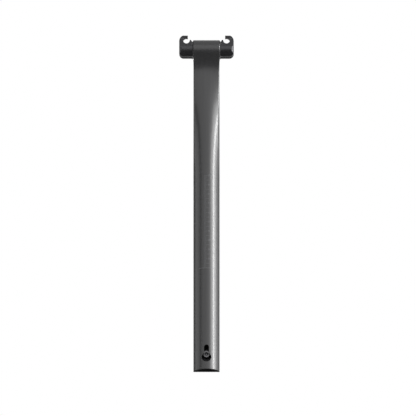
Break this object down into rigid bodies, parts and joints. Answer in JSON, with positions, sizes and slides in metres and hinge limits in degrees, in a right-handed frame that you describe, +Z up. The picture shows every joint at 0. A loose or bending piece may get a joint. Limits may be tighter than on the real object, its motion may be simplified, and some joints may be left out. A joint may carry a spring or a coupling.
{
  "type": "bicycle seatpost",
  "caption": "Seatpost of two carbon leaf springs split lengthwise, with eyes at the top that carry hooked side jaws for round saddle rails.",
  "frame": {"origin": "on the post axis, at the foot of the front leaf", "axes": "+Z up the post axis, -Y towards the front of the bicycle, +X the rider's left"},
  "size_m": [0.0566, 0.0486, 0.3659],
  "materials": {
    "carbon_shell": "satin clear coat over carbon fibre",
    "dark_alloy": "dark anodised, fine blasted",
    "plain_alloy": "turned",
    "black_steel": "black oxide",
    "bright_steel": "stainless",
    "bearing_polymer": "plain bearing polymer"
  },
  "bodies": {
    "front_leaf_body": {"front_leaf": "carbon_shell", "front_bush_left": "bearing_polymer", "front_bush_right": "bearing_polymer"},
    "rear_leaf_body": {"rear_leaf": "carbon_shell", "rear_bush_left": "bearing_polymer", "rear_bush_right": "bearing_polymer", "foot_screw": "bright_steel", "foot_washer": "black_steel", "foot_nut": "plain_alloy"},
    "head": {"inner_jaw_left": "dark_alloy", "inner_jaw_right": "dark_alloy", "front_axle_sleeve": "plain_alloy", "rear_axle_sleeve": "plain_alloy"},
    "right_clamp": {"outer_jaw_right": "dark_alloy", "front_clamp_bolt": "black_steel", "rear_clamp_bolt": "black_steel", "front_bolt_washer": "black_steel", "rear_bolt_washer": "black_steel"},
    "left_clamp": {"outer_jaw_left": "dark_alloy", "front_clamp_nut": "black_steel", "rear_clamp_nut": "black_steel"}
  },
  "joints": [
    {"name": "leaf_shift", "type": "slide", "parent": "front_leaf_body", "child": "rear_leaf_body", "axis": [0, 0, 1], "range_m": [-0.0025, 0.0025]},
    {"name": "head_tilt", "type": "hinge", "parent": "front_leaf_body", "child": "head", "pos_m": [0, -0.01475, 0.3448], "axis": [1, 0, 0], "range_deg": [-4.9, 4.9]},
    {"name": "right_jaw_open", "type": "slide", "parent": "head", "child": "right_clamp", "axis": [-1, 0, 0], "range_m": [0, 0.0055]},
    {"name": "left_jaw_open", "type": "slide", "parent": "head", "child": "left_clamp", "axis": [1, 0, 0], "range_m": [0, 0.0055]}
  ],
  "couplings": [
    {"joint": "head_tilt", "follows": "leaf_shift", "rad_per_m": 33.898}
  ]
}
